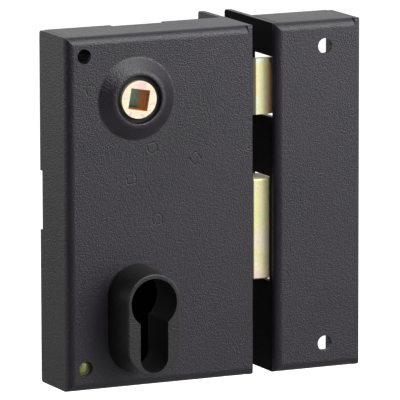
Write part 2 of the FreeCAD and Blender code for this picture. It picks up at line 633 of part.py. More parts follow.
def make_latch_spring():
    """A compression spring along X between its post and the tail's tab."""
    wire = size("spring_wire") / 2
    first_x = size("spring_post_x + spring_post_radius + spring_seat") + wire
    last_x = size("tab_face - spring_seat") - wire
    turns = size("spring_turns")
    radius = size("spring_radius")
    pitch = (last_x - first_x) / turns
    centre_y = -size("spring_axis_depth")

    def point(turn):
        angle = 2 * math.pi * turn
        return FreeCAD.Vector(first_x + pitch * turn, centre_y + radius * math.cos(angle),
                              radius * math.sin(angle))

    def way(turn):
        angle = 2 * math.pi * turn
        return FreeCAD.Vector(pitch / (2 * math.pi), -radius * math.sin(angle),
                              radius * math.cos(angle)).normalize()

    quarters = round(turns * 4)
    edges = []
    for quarter in range(quarters):
        first, last = quarter / 4, (quarter + 1) / 4
        edges += biarc(point(first), way(first), point(last), way(last))
    path = Part.Wire(Part.__sortEdges__(edges))
    section = Part.Wire([Part.Circle(point(0), way(0), wire).toShape()])
    coil = doc.addObject("Part::Feature", "Coil")
    coil.Shape = path.makePipeShell([section], True, False)
    print(f"latch spring: gap between turns {pitch - 2 * wire:.2f} mm")
    return name_node(coil, "latch_spring")


# Dead bolt

def make_dead_bolt_head():
    block = box(("bolt_rear", "bolt_tip"), ("-bolt_front", "bolt_back"), ("bolt_low", "-bolt_drop"))
    middle_x = "(bolt_rear + bolt_tip) / 2"
    middle_y = "-bolt_front + bolt_thick / 2"
    middle_z = "-bolt_drop - bolt_height / 2"
    spots = [(middle_x, y, z) for y in ("-bolt_front", "bolt_back") for z in ("bolt_low", "-bolt_drop")]
    spots += [("bolt_tip", y, middle_z) for y in ("-bolt_front", "bolt_back")]
    spots += [("bolt_tip", middle_y, z) for z in ("bolt_low", "-bolt_drop")]
    block = rounded(block, "bolt_round", spots)
    slot = box(("bolt_rear - 1", "bolt_tail_right + tail_slot_gap"),
               ("-bolt_tail_front - tail_slot_gap", "bolt_tail_back + tail_slot_gap"),
               ("-bolt_tail_bottom - tail_slot_gap", "-bolt_tail_top + tail_slot_gap"))
    holes = [rod_y(x, z, ("-bolt_front - 1", "0"), "rivet_radius + rivet_gap") for x, z in bolt_rivet_places]
    return name_node(cut(block, slot, *holes), "dead_bolt_head")


bolt_rivet_places = [("bolt_rear + rivet_inset", f"-bolt_drop - bolt_height / 2 {sign} rivet_spacing / 2")
                     for sign in "-+"]


def make_dead_bolt_tail():
    low, high = "-bolt_tail_bottom", "-bolt_tail_top"
    outline = [("-bolt_tail_left", high), ("-bolt_tail_left", low)]
    for count in range(int(size("talon_count"))):
        left = f"-bolt_tail_left + talon_pitch * {count + 1} - talon_gap"
        right = f"-bolt_tail_left + talon_pitch * {count + 1}"
        roof = "-bolt_tail_bottom + talon_height"
        outline += [(left, low), (left, roof), (right, roof), (right, low)]
    outline += [("bolt_tail_right", low), ("bolt_tail_right", high)]
    for notch in ("detent_place + bolt_reach", "detent_place"):
        outline += [(f"{notch} + detent_half", high), (notch, f"{high} - detent_depth"),
                    (f"{notch} - detent_half", high)]
    guide_half = "(stud_radius + slot_gap)"
    guide_slot = rectangle((f"guide_stud_x - {guide_half}", f"guide_stud_x + bolt_reach + {guide_half}"),
                           (f"-guide_stud_drop - {guide_half}", f"-guide_stud_drop + {guide_half}"))
    holes = [(x, z, "rivet_radius + rivet_gap") for x, z in bolt_rivet_places]
    blank = plate("dead_bolt_tail_blank", "XZ", "-bolt_tail_back", outline, "bolt_tail_sheet", holes,
                  [guide_slot])
    return name_node(blank, "dead_bolt_tail")


def make_dead_bolt_rivets():
    group = doc.addObject("Part::Compound", "BoltRivetGroup")
    group.Links = [rod_y(x, z, ("-bolt_front", "bolt_back"), "rivet_radius") for x, z in bolt_rivet_places]
    return name_node(group, "dead_bolt_rivets")


def make_detent_spring():
    """A leaf clipped round its stud, with its nose in the tail's notch."""
    back = "-detent_leaf_front + detent_leaf_width"
    x, z = studs["detent_stud"]
    ring = rod_y(x, z, ("-detent_leaf_front", back), "stud_radius + head_gap + detent_ring")
    nose_z = "-bolt_tail_top - detent_depth + 0.6"
    outline = [("detent_stud_x + 2.8", "-detent_stud_drop - 0.7"), ("detent_place + 5.2", "-bolt_tail_top + 3"),
               ("detent_place + 0.2", nose_z), ("detent_place - 2.6", "-bolt_tail_top + 1.4"),
               ("detent_place - 2", "-bolt_tail_top + 1.9"), ("detent_place + 0.2", f"{nose_z} + 1.1"),
               ("detent_place + 3.4", "-bolt_tail_top + 2.8"), ("detent_stud_x + 2.4", "-detent_stud_drop - 1.7")]
    leaf = plate("detent_leaf_blank", "XZ", f"-({back})", outline, "detent_leaf_width")
    bore = rod_y(x, z, ("-detent_leaf_front - 1", f"{back} + 1"), "stud_radius + head_gap")
    return name_node(cut(fuse(ring, leaf), bore), "detent_spring")


# Key lever and small posts

def make_latch_spring_post():
    post = rod_y("spring_post_x", "0", ("stud_back - spring_post_length", "stud_back"), "spring_post_radius")
    return name_node(post, "latch_spring_post")


def make_key_lever():
    back = "lever_sheet - lever_front"
    half = "lever_half_width"
    outline = [(f"lever_stud_x + {half}", "lever_stud_z"),
               (f"lever_knee_x + {half}", "-lever_knee_drop"),
               (f"lever_pin_x + {half}", "-lever_pin_drop"), (f"lever_pin_x - {half}", "-lever_pin_drop"),
               (f"lever_knee_x - {half}", "-lever_knee_drop"), (f"lever_stud_x - {half}", "lever_stud_z")]
    arm = plate("key_lever_blank", "XZ", f"-({back})", outline, "lever_sheet")
    boss = rod_y("lever_stud_x", "lever_stud_z", ("-lever_front", back), "lever_boss_radius")
    end = rod_y("lever_pin_x", "-lever_pin_drop", ("-lever_front", back), "lever_end_radius")
    pivot = rod_y("lever_stud_x", "lever_stud_z", ("-lever_front - 1", "0"), "stud_radius + stud_running_gap")
    pin_hole = rod_y("lever_pin_x", "-lever_pin_drop", ("-lever_front - 1", "0"), "lever_pin_radius + pin_fit")
    name_node(cut(fuse(arm, boss, end), pivot, pin_hole), "key_lever")
    pin = rod_y("lever_pin_x", "-lever_pin_drop", ("tail_front - pin_proud", back), "lever_pin_radius")
    name_node(pin, "key_lever_pin")


# Keeper

def make_keeper_box():
    z = ("case_bottom", "follower_to_top")
    folded_x = ("keeper_left", "keeper_right - keeper_sheet")
    outside, hollow = tray(folded_x, ("-case_depth", "0"), z, "keeper_sheet")
    flange = box(("keeper_left", "keeper_left + keeper_sheet"), ("-1", "flange_reach"), z)
    middle = "keeper_left + keeper_sheet / 2"
    folded = rounded(fuse(outside, flange), "flange_corner_round",
                     [(middle, "flange_reach", height) for height in z])
    end = end_plate("keeper_end_blank", (folded_x[1], "keeper_right"), "keeper_sheet",
                    ("-case_depth", "0"))
    joined = fuse(cut(folded, hollow), end)
    across = ("keeper_left - 1", "keeper_left + keeper_sheet + 1")
    latch_window = box(across, ("-latch_window_front", "-window_back"),
                       ("-latch_window_height / 2", "latch_window_height / 2"))
    bolt_middle = "-bolt_drop - bolt_height / 2"
    bolt_window = box(across, ("-bolt_window_front", "-window_back"),
                      (f"{bolt_middle} - bolt_window_height / 2", f"{bolt_middle} + bolt_window_height / 2"))
    screw_x = "keeper_right - keeper_hole_inset"
    holes = [rod_y(screw_x, height, ("-case_depth - 1", "1 - case_depth + keeper_sheet"), "keeper_hole_radius")
             for height in ("follower_to_top - keeper_hole_edge", "case_bottom + keeper_hole_edge")]
    slits = []
    for slit_z in ("follower_to_top - keeper_sheet - 0.5", "case_bottom - 0.5"):
        slits.append(box(("keeper_left + keeper_sheet", "keeper_left + keeper_sheet + slit_width"),
                         ("bend_radius - case_depth", "1"), (slit_z, f"{slit_z} + keeper_sheet + 1")))
    sink_x = ("keeper_left", "keeper_left + flange_screw_head - flange_screw_radius")
    keeper = cut(joined, latch_window, bolt_window, *holes, *slits,
                 *flange_screw_holes(across, sink_x, ("flange_screw_head", "flange_screw_radius")))
    return name_node(keeper, "keeper_box")


make_case_cover()
make_forend_plate()
make_back_plate()
make_studs()
make_back_plate_screws()
make_corner_spacers()
make_corner_pin()
make_cylinder_collar()
make_follower_bushes()
make_follower_hub()
make_latch_head()
make_latch_tail()
make_latch_rivets()
make_latch_spring()
make_dead_bolt_head()
make_dead_bolt_tail()
make_dead_bolt_rivets()
make_detent_spring()
make_latch_spring_post()
make_key_lever()
make_keeper_box()
doc.recompute()

for obj in doc.Objects:
    if "Invalid" in obj.State or "Error" in obj.State:
        raise RuntimeError(f"{obj.Name} ({obj.Label}) failed: {obj.getStatusString()}")
for obj in finished:
    if obj.Shape.isNull() or not obj.Shape.isValid():
        raise RuntimeError(f"{obj.Label} has no valid shape")

os.makedirs("parts", exist_ok=True)
for obj in finished:
    obj.Shape.exportStep(f"parts/{obj.Label}.step")
    extent = obj.Shape.BoundBox
    print(f"{obj.Label}: {len(obj.Shape.Solids)} solid(s), {obj.Shape.Volume:.0f} mm3, "
          f"x {extent.XMin:.1f}..{extent.XMax:.1f} y {extent.YMin:.1f}..{extent.YMax:.1f} "
          f"z {extent.ZMin:.1f}..{extent.ZMax:.1f}")
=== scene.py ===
import bpy
import bmesh
import json
import math
from mathutils import Matrix, Vector


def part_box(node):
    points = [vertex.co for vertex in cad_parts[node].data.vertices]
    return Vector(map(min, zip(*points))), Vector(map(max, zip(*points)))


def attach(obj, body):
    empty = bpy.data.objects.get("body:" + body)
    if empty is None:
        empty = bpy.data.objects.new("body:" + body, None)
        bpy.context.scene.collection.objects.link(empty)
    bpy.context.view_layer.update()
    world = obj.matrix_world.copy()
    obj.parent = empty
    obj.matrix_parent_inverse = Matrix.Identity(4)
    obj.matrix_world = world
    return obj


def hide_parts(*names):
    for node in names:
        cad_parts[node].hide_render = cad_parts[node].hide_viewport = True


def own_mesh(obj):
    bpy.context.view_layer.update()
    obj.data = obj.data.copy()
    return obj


# A surface-mounted door lock with its box keeper. Metres: +X to the keeper, +Y into the door, +Z up.

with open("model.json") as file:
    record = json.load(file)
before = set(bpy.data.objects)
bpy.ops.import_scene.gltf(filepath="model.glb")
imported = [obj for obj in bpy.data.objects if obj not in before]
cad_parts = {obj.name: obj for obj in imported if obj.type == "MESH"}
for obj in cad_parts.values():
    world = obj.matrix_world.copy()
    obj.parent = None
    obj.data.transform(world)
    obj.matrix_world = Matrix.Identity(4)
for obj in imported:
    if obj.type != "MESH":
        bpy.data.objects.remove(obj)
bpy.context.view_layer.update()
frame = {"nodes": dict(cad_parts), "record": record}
scene = bpy.context.scene
nodes = frame["nodes"]
print("frame loaded:", len(nodes), "nodes")


# Node tools

def newMaterial(name):
    material = bpy.data.materials.new(name)
    material.use_nodes = True
    tree = material.node_tree
    tree.nodes.clear()
    output = tree.nodes.new("ShaderNodeOutputMaterial")
    shader = tree.nodes.new("ShaderNodeBsdfPrincipled")
    tree.links.new(shader.outputs["BSDF"], output.inputs["Surface"])
    return material, tree, shader


def addNode(tree, kind, inputs=None, **settings):
    node = tree.nodes.new(kind)
    for key, value in settings.items():
        setattr(node, key, value)
    for key, value in (inputs or {}).items():
        if isinstance(value, bpy.types.NodeSocket):
            tree.links.new(value, node.inputs[key])
        else:
            node.inputs[key].default_value = value
    return node


def addMath(tree, operation, first, second=0.0, third=0.0):
    node = addNode(tree, "ShaderNodeMath", {0: first, 1: second, 2: third}, operation=operation)
    return node.outputs[0]


def addRange(tree, value, low, high, toLow=0.0, toHigh=1.0, **settings):
    node = addNode(tree, "ShaderNodeMapRange", {"Value": value, "From Min": low, "From Max": high,
                                                "To Min": toLow, "To Max": toHigh}, **settings)
    return node.outputs["Result"]


def addAxes(tree, vector):
    return addNode(tree, "ShaderNodeSeparateXYZ", {0: vector}).outputs


def addNoise(tree, point, scale, detail, roughness=0.5, distortion=0.0):
    node = addNode(tree, "ShaderNodeTexNoise", {"Vector": point, "Scale": scale, "Detail": detail,
                                                "Roughness": roughness, "Distortion": distortion})
    return node.outputs


def addTones(tree, factor, look):
    return addRamp(tree, factor, [(look["toneLow"], look["dark"]), (look["toneHigh"], look["pale"])])


def addRamp(tree, factor, stops):
    node = addNode(tree, "ShaderNodeValToRGB", {"Fac": factor})
    ramp = node.color_ramp
    while len(ramp.elements) < len(stops):
        ramp.elements.new(0.5)
    for element, (place, colour) in zip(ramp.elements, stops):
        element.position = place
        element.color = (*colour, 1.0)
    return node.outputs["Color"]


def addMix(tree, factor, first, second, blend="MIX"):
    node = addNode(tree, "ShaderNodeMix", {"Factor": factor}, data_type="RGBA", blend_type=blend)
    for socket, value in ((node.inputs[6], first), (node.inputs[7], second)):
        if isinstance(value, bpy.types.NodeSocket):
            tree.links.new(value, socket)
        else:
            socket.default_value = (*value, 1.0)
    return node.outputs[2]


def addGloss(tree, tone, look):
    # roughness that follows a tone of 0 to 1, spread evenly about its middle value
    return addMath(tree, "MULTIPLY_ADD", tone, 2 * look["roughnessSpread"],
                   look["roughness"] - look["roughnessSpread"])


def linkBump(tree, shader, height, look):
    bump = addNode(tree, "ShaderNodeBump", {"Strength": look["bump"], "Distance": look["grainDepth"],
                                            "Height": height})
    tree.links.new(bump.outputs["Normal"], shader.inputs["Normal"])


def objectPoint(tree):
    return addNode(tree, "ShaderNodeTexCoord").outputs["Object"]


# Effects shared by the finishes

socketKinds = {"value": "NodeSocketFloat", "vector": "NodeSocketVector", "colour": "NodeSocketColor"}


def newGroup(name, inputs, outputs):
    group = bpy.data.node_groups.new(name, "ShaderNodeTree")
    for direction, sockets in (("INPUT", inputs), ("OUTPUT", outputs)):
        for label, kind in sockets.items():
            group.interface.new_socket(label, in_out=direction, socket_type=socketKinds[kind])
    start = group.nodes.new("NodeGroupInput")
    end = group.nodes.new("NodeGroupOutput")
    return group, start.outputs, end.inputs


def useGroup(tree, group, **inputs):
    node = tree.nodes.new("ShaderNodeGroup")
    node.node_tree = group
    for key, value in inputs.items():
        socket = node.inputs[key.replace("_", " ")]
        if isinstance(value, bpy.types.NodeSocket):
            tree.links.new(value, socket)
        else:
            socket.default_value = value
    return node.outputs


grainShape = {"smoothness": 0.6, "swellScale": 0.42, "swellDetail": 3.0, "swellRoughness": 0.6,
              "weight": 0.9}


def makeCoatGrain(shape):
    # the fine leathery skin of a powder coat, as a height
    group, start, end = newGroup("coatGrain", {"Point": "vector", "Grains per metre": "value"},
                                 {"Height": "value", "Fleck": "value"})
    grains = start["Grains per metre"]
    cells = addNode(group, "ShaderNodeTexVoronoi", {"Vector": start["Point"], "Scale": grains},
                    feature="SMOOTH_F1")
    cells.inputs["Smoothness"].default_value = shape["smoothness"]
    swell = addNoise(group, start["Point"], addMath(group, "MULTIPLY", grains, shape["swellScale"]),
                     shape["swellDetail"], shape["swellRoughness"])["Fac"]
    height = addMath(group, "MULTIPLY_ADD", cells.outputs["Distance"], shape["weight"],
                     addMath(group, "MULTIPLY", swell, shape["weight"]))
    group.links.new(height, end["Height"])
    group.links.new(swell, end["Fleck"])
    return group


cloudShape = {"detail": 4.0, "roughness": 0.55, "distortion": 0.3}


def makeCloudiness(shape):
    # slow variation of tone and gloss over a surface
    group, start, end = newGroup("cloudiness", {"Point": "vector", "Scale": "value"}, {"Cloud": "value"})
    cloud = addNoise(group, start["Point"], start["Scale"], shape["detail"], shape["roughness"],
                     shape["distortion"])
    group.links.new(cloud["Fac"], end["Cloud"])
    return group


outlineShape = {"front": -0.0228, "breakScale": 700.0, "breakDetail": 2.0, "breakLow": 0.36,
                "breakHigh": 0.58}


def makeFaintOutline(shape):
    # the broken outline of a round or square spot on the front panel, as a mask
    inputs = {"Point": "vector", "Centre": "vector", "Half size": "vector", "Turn": "value",
              "Squareness": "value", "Line": "value"}
    group, start, end = newGroup("faintOutline", inputs, {"Outline": "value"})
    offset = addNode(group, "ShaderNodeVectorMath", {0: start["Point"], 1: start["Centre"]},
                     operation="SUBTRACT").outputs[0]
    turned = addNode(group, "ShaderNodeVectorRotate", {"Vector": offset, "Angle": start["Turn"]},
                     rotation_type="Y_AXIS").outputs[0]
    scaled = addNode(group, "ShaderNodeVectorMath", {0: turned, 1: start["Half size"]},
                     operation="DIVIDE").outputs[0]
    axes = addAxes(group, scaled)
    power = start["Squareness"]
    across = addMath(group, "POWER", addMath(group, "ABSOLUTE", axes["X"]), power)
    upward = addMath(group, "POWER", addMath(group, "ABSOLUTE", axes["Z"]), power)
    reach = addMath(group, "POWER", addMath(group, "ADD", across, upward),
                    addMath(group, "DIVIDE", 1.0, power))
    off = addMath(group, "ABSOLUTE", addMath(group, "SUBTRACT", reach, 1.0))
    line = addRange(group, off, 0.0, start["Line"], 1.0, 0.0, interpolation_type="SMOOTHSTEP")
    onFront = addMath(group, "LESS_THAN", addAxes(group, start["Point"])["Y"], shape["front"])
    broken = addNoise(group, start["Point"], shape["breakScale"], shape["breakDetail"])["Fac"]
    gaps = addRange(group, broken, shape["breakLow"], shape["breakHigh"])
    shown = addMath(group, "MULTIPLY", addMath(group, "MULTIPLY", line, onFront), gaps)
    group.links.new(shown, end["Outline"])
    return group


platingShape = {"stretch": (1.0, 1.0, 0.06), "streakDetail": 3.0, "pitScale": 2600.0, "pitDetail": 1.0,
                "pitLow": 0.30, "pitHigh": 0.42}


def makePlatingSkin(shape):
    # upright drawn streaks and small dull pits in thin plating
    group, start, end = newGroup("platingSkin", {"Point": "vector", "Streak scale": "value"},
                                 {"Streak": "value", "Streak tone": "colour", "Pits": "value"})
    stretched = addNode(group, "ShaderNodeMapping", {"Vector": start["Point"], "Scale": shape["stretch"]})
    streak = addNoise(group, stretched.outputs["Vector"], start["Streak scale"], shape["streakDetail"])
    speck = addNoise(group, start["Point"], shape["pitScale"], shape["pitDetail"])["Fac"]
    group.links.new(streak["Fac"], end["Streak"])
    group.links.new(streak["Color"], end["Streak tone"])
    group.links.new(addRange(group, speck, shape["pitLow"], shape["pitHigh"], 1.0, 0.0), end["Pits"])
    return group


coatGrain = makeCoatGrain(grainShape)
cloudiness = makeCloudiness(cloudShape)
faintOutline = makeFaintOutline(outlineShape)
platingSkin = makePlatingSkin(platingShape)


# Black coats

# ends of the studs behind the front panel, as they press faintly through it
studMarks = [
    {"centre": (-0.0171, 0.0, 0.0039), "half": 0.0019, "turn": 0.0, "squareness": 2.0, "depth": 0.5},
    {"centre": (0.0061, 0.0, -0.0178), "half": 0.0018, "turn": 0.3, "squareness": 3.5, "depth": 0.7},
    {"centre": (0.0226, 0.0, -0.0226), "half": 0.0017, "turn": 0.75, "squareness": 8.0, "depth": 1.0},
    {"centre": (-0.0020, 0.0, -0.0282), "half": 0.0017, "turn": 0.1, "squareness": 5.0, "depth": 0.5},
    {"centre": (0.0079, 0.0, -0.0431), "half": 0.0019, "turn": 0.2, "squareness": 2.6, "depth": 0.7},
]
markLook = {"line": 0.22, "dent": 2.0, "dullness": 0.45}


def addStudMarks(tree, point, marks):
    total = 0.0
    for mark in marks:
        spot = useGroup(tree, faintOutline, Point=point, Centre=mark["centre"], Half_size=(mark["half"],) * 3,
                        Turn=mark["turn"], Squareness=mark["squareness"], Line=markLook["line"])
        total = addMath(tree, "MAXIMUM", addMath(tree, "MULTIPLY", spot["Outline"], mark["depth"]), total)
    return total


cylinderWay = {"middle": -0.0777, "straight": 0.0081, "radius": 0.0094, "mouth": -0.03735}


def insideWay(tree, point):
    # the walls of the cylinder's way through the collar, as a mask for the painted shade inside the way
    axes = addAxes(tree, point)
    along = addMath(tree, "ABSOLUTE", addMath(tree, "SUBTRACT", axes["Z"], cylinderWay["middle"]))
    beyond = addMath(tree, "MAXIMUM", addMath(tree, "SUBTRACT", along, cylinderWay["straight"]), 0.0)
    spread = addMath(tree, "MULTIPLY_ADD", axes["X"], axes["X"], addMath(tree, "MULTIPLY", beyond, beyond))
    near = addMath(tree, "LESS_THAN", addMath(tree, "SQRT", spread), cylinderWay["radius"])
    return addMath(tree, "MULTIPLY", near, addMath(tree, "GREATER_THAN", axes["Y"], cylinderWay["mouth"]))


keeperWall = {"place": 0.0537, "within": 0.00004}


def facingCase(tree, point):
    # the keeper's wall that looks at the lock case across the gap, as a mask for painted shade
    off = addMath(tree, "SUBTRACT", addAxes(tree, point)["X"], keeperWall["place"])
    return addMath(tree, "LESS_THAN", addMath(tree, "ABSOLUTE", off), keeperWall["within"])


# painted shade: on the case's coat the keeper's wall across the gap, and on the collar's coat the walls of
# the cylinder way, are painted near black, rougher and metallic, with next to no sheen
blackCoatLook = {
    "dark": (0.0062, 0.0045, 0.0080), "pale": (0.0104, 0.0078, 0.0132), "toneLow": 0.35, "toneHigh": 0.65,
    "roughness": 0.37, "roughnessSpread": 0.18, "grains": 2500.0, "grainDepth": 0.00012, "bump": 1.0,
    "cloudScale": 35.0, "marks": studMarks, "paintedShadePart": facingCase, "markAndShadeTone": (0.003, 0.003, 0.003),
    "shadeRoughness": 0.5, "shadeMetal": 0.8, "frontPaintedLight": None,
}
# the collar's coat is painted far darker than the case's as painted shade on its sides, and its front face is
# lifted back as painted light
collarCoatLook = dict(
    blackCoatLook, dark=(0.0010, 0.0009, 0.0011), pale=(0.0020, 0.0018, 0.0022), grainDepth=0.00011,
    roughness=0.36, marks=None, paintedShadePart=insideWay, frontPaintedLight={"place": -0.0368, "times": 4.6})


def makeBlackCoat(name, look):
    material, tree, shader = newMaterial(name)
    point = objectPoint(tree)
    grain = useGroup(tree, coatGrain, Point=point, Grains_per_metre=look["grains"])
    cloud = useGroup(tree, cloudiness, Point=point, Scale=look["cloudScale"])["Cloud"]
    tone = addMath(tree, "MULTIPLY_ADD", grain["Fleck"], 0.5, addMath(tree, "MULTIPLY", cloud, 0.5))
    colour = addTones(tree, tone, look)
    height = grain["Height"]
    gloss = addGloss(tree, tone, look)
    if look["marks"]:
        marks = addStudMarks(tree, point, look["marks"])
        colour = addMix(tree, marks, colour, look["markAndShadeTone"])
        height = addMath(tree, "SUBTRACT", height, addMath(tree, "MULTIPLY", marks, markLook["dent"]))
        gloss = addMath(tree, "MULTIPLY_ADD", marks, markLook["dullness"], gloss)
    if look["frontPaintedLight"]:  # painted light: the collar's front face is lifted 4.6 times over its sides, which stay dark as painted shade
        front = addMath(tree, "LESS_THAN", addAxes(tree, point)["Y"], look["frontPaintedLight"]["place"])
        paintedLift = addMath(tree, "MULTIPLY_ADD", front, look["frontPaintedLight"]["times"] - 1.0, 1.0)
        colour = addNode(tree, "ShaderNodeVectorMath", {0: colour, 3: paintedLift}, operation="SCALE").outputs[0]
    # painted shade: the masked part is made near black, rougher and metallic so it shows next to no colour or
    # sheen
    paintedShade = look["paintedShadePart"](tree, point)
    colour = addMix(tree, paintedShade, colour, look["markAndShadeTone"])
    gloss = addMath(tree, "MULTIPLY_ADD", paintedShade, look["shadeRoughness"], gloss)
    tree.links.new(addMath(tree, "MULTIPLY", paintedShade, look["shadeMetal"]), shader.inputs["Metallic"])
    tree.links.new(colour, shader.inputs["Base Color"])
    tree.links.new(gloss, shader.inputs["Roughness"])
    linkBump(tree, shader, height, look)
    return material


# Zinc plating

tintPlaces = {"rose": 0.39, "cream": 0.46, "straw": 0.53, "leaf": 0.60, "sky": 0.70}
zincLook = {
    "cream": (0.86, 0.79, 0.56), "straw": (0.84, 0.76, 0.37), "rose": (0.86, 0.66, 0.57),
    "sky": (0.76, 0.80, 0.79), "leaf": (0.78, 0.81, 0.48), "metallic": 0.38, "roughness": 0.38,
    "roughnessSpread": 0.08, "tintScale": 95.0, "streakScale": 900.0, "streakStrength": 0.12, "bump": 0.12,
    "grainDepth": 0.00006, "pitStrength": 0.35, "pitTone": (0.42, 0.30, 0.22), "squareWalls": None,
    "gapShade": True,
}
hubLook = dict(zincLook, cream=(0.80, 0.69, 0.56), straw=(0.80, 0.67, 0.45), rose=(0.72, 0.54, 0.48),
               sky=(0.76, 0.72, 0.66), leaf=(0.74, 0.72, 0.48), metallic=0.45, roughness=0.38,
               tintScale=420.0, gapShade=False)
hubLook["squareWalls"] = [  # tint of the square hole's walls from its mouth inwards
    (0.00, (0.40, 0.17, 0.03)), (0.25, (0.86, 0.30, 0.02)), (0.50, (0.60, 0.42, 0.06)),
    (0.68, (0.20, 0.40, 0.28)), (1.00, (0.16, 0.32, 0.23))]
pinLook = dict(zincLook, cream=(0.34, 0.37, 0.16), straw=(0.24, 0.27, 0.08), rose=(0.14, 0.15, 0.06),
               sky=(0.38, 0.46, 0.28), leaf=(0.16, 0.20, 0.06), roughness=0.34, metallic=0.7,
               tintScale=520.0, gapShade=False)

# painted shadow of the case's edge on latch and bolt beside the forend, and painted orange-brown shade at the
# latch's nose inside the keeper
gapShadeLook = {"latchAbove": -0.02, "boltEdge": 0.0483, "latchLead": 0.0008, "fadeLow": -0.0001,
              "fadeHigh": 0.0003, "forendInside": 0.0445, "shadowBandTone": (0.010, 0.010, 0.006),
              "shadowBandStrength": 0.92, "noseLow": 0.0528, "noseHigh": 0.0548, "noseShadeTone": (0.80, 0.46, 0.16),
              "noseShadeStrength": 0.85}


def addPaintedGapShade(tree, point, colour, look):
    # latch and bolt: a painted shadow of the case's edge where they come out of the forend, and painted
    # orange-brown shade round the latch's nose where it enters the keeper
    axes = addAxes(tree, point)
    onLatch = addMath(tree, "GREATER_THAN", axes["Z"], look["latchAbove"])
    edge = addMath(tree, "MULTIPLY_ADD", onLatch, look["latchLead"], look["boltEdge"])
    shadowBand = addRange(tree, addMath(tree, "SUBTRACT", axes["X"], edge), look["fadeLow"], look["fadeHigh"],
                    look["shadowBandStrength"], 0.0)
    outside = addMath(tree, "GREATER_THAN", axes["X"], look["forendInside"])
    colour = addMix(tree, addMath(tree, "MULTIPLY", shadowBand, outside), colour, look["shadowBandTone"])
    noseShade = addRange(tree, axes["X"], look["noseLow"], look["noseHigh"], 0.0, look["noseShadeStrength"])
    return addMix(tree, addMath(tree, "MULTIPLY", noseShade, onLatch), colour, look["noseShadeTone"])


squareHole = {"turn": -10.0, "halfWidth": 0.00368, "mouth": -0.0256, "end": -0.0096, "edgeScale": 700.0,
              "edgeDetail": 3.0, "ragged": 0.9}


def addSquareWalls(tree, point, colour, stops):
    turned = addNode(tree, "ShaderNodeVectorRotate",
                     {"Vector": point, "Angle": math.radians(squareHole["turn"])},
                     rotation_type="Y_AXIS").outputs[0]
    axes = addAxes(tree, turned)
    reach = addMath(tree, "MAXIMUM", addMath(tree, "ABSOLUTE", axes["X"]),
                    addMath(tree, "ABSOLUTE", axes["Z"]))
    inside = addMath(tree, "LESS_THAN", reach, squareHole["halfWidth"])
    edges = addNoise(tree, point, squareHole["edgeScale"], squareHole["edgeDetail"])["Fac"]
    shift = addMath(tree, "MULTIPLY_ADD", edges, squareHole["ragged"], -squareHole["ragged"] / 2)
    depth = addMath(tree, "ADD", addRange(tree, axes["Y"], squareHole["mouth"], squareHole["end"]), shift)
    return addMix(tree, inside, colour, addRamp(tree, depth, stops))


def makeZinc(name, look):
    # bright zinc with a thin yellow passivate that shifts to pink, green and blue
    material, tree, shader = newMaterial(name)
    point = objectPoint(tree)
    tint = useGroup(tree, cloudiness, Point=point, Scale=look["tintScale"])["Cloud"]
    colour = addRamp(tree, tint, [(place, look[tintName]) for tintName, place in tintPlaces.items()])
    skin = useGroup(tree, platingSkin, Point=point, Streak_scale=look["streakScale"])
    pits = addMath(tree, "MULTIPLY", skin["Pits"], look["pitStrength"])
    colour = addMix(tree, pits, colour, look["pitTone"])
    # painted shadow beside the forend and painted shade at the latch's nose
    if look["gapShade"]:
        colour = addPaintedGapShade(tree, point, colour, gapShadeLook)
    if look["squareWalls"]:
        colour = addSquareWalls(tree, point, colour, look["squareWalls"])
    shaded = addMix(tree, look["streakStrength"], colour, skin["Streak tone"], "OVERLAY")
    tree.links.new(shaded, shader.inputs["Base Color"])
    shader.inputs["Metallic"].default_value = look["metallic"]
    tree.links.new(addGloss(tree, skin["Streak"], look), shader.inputs["Roughness"])
    linkBump(tree, shader, skin["Streak"], look)
    return material


# Nylon and spring steel

nylonLook = {"dark": (0.003, 0.003, 0.003), "pale": (0.006, 0.006, 0.006), "toneLow": 0.3, "toneHigh": 0.7,
             "grains": 3500.0, "grainDepth": 0.00004, "bump": 0.2, "roughness": 0.72, "roughnessSpread": 0.1}
steelLook = {"dark": (0.32, 0.32, 0.33), "pale": (0.46, 0.45, 0.44), "toneLow": 0.3, "toneHigh": 0.7,
             "cloudScale": 400.0, "roughness": 0.32, "roughnessSpread": 0.1}


def makeNylon(look):
    material, tree, shader = newMaterial("blackNylon")
    grain = useGroup(tree, coatGrain, Point=objectPoint(tree), Grains_per_metre=look["grains"])
    tree.links.new(addTones(tree, grain["Fleck"], look), shader.inputs["Base Color"])
    tree.links.new(addGloss(tree, grain["Fleck"], look), shader.inputs["Roughness"])
    linkBump(tree, shader, grain["Height"], look)
    return material


def makeSpringSteel(look):
    material, tree, shader = newMaterial("springSteel")
    cloud = useGroup(tree, cloudiness, Point=objectPoint(tree), Scale=look["cloudScale"])["Cloud"]
    tree.links.new(addTones(tree, cloud, look), shader.inputs["Base Color"])
    shader.inputs["Metallic"].default_value = 1.0
    tree.links.new(addGloss(tree, cloud, look), shader.inputs["Roughness"])
    return material


springSteel = makeSpringSteel(steelLook)
slotLooks = {
    "black_coat": makeBlackCoat("blackCoat", blackCoatLook),
    "collar_coat": makeBlackCoat("collarCoat", collarCoatLook),
    "plated_steel": makeZinc("platedSteel", zincLook),
    "follower_metal": makeZinc("followerMetal", hubLook),
    "black_nylon": makeNylon(nylonLook),
    "spring_steel": springSteel,
}
for part in frame["record"]["subparts"]:
    target = nodes[part["node"]]
    target.data.materials.clear()
    target.data.materials.append(slotLooks[part["material_slot"]])
nodes["lower_corner_pin"].data.materials[0] = makeZinc("pinMetal", pinLook)
print("finishes made")


# The latch's spring, drawn as a fixed coil at rest length; it is not made to shorten as the latch is drawn

springCoil = {"turns": 5.5, "wire": 0.00035, "ringPoints": 12, "stepsPerTurn": 32, "travel": 0.0105}


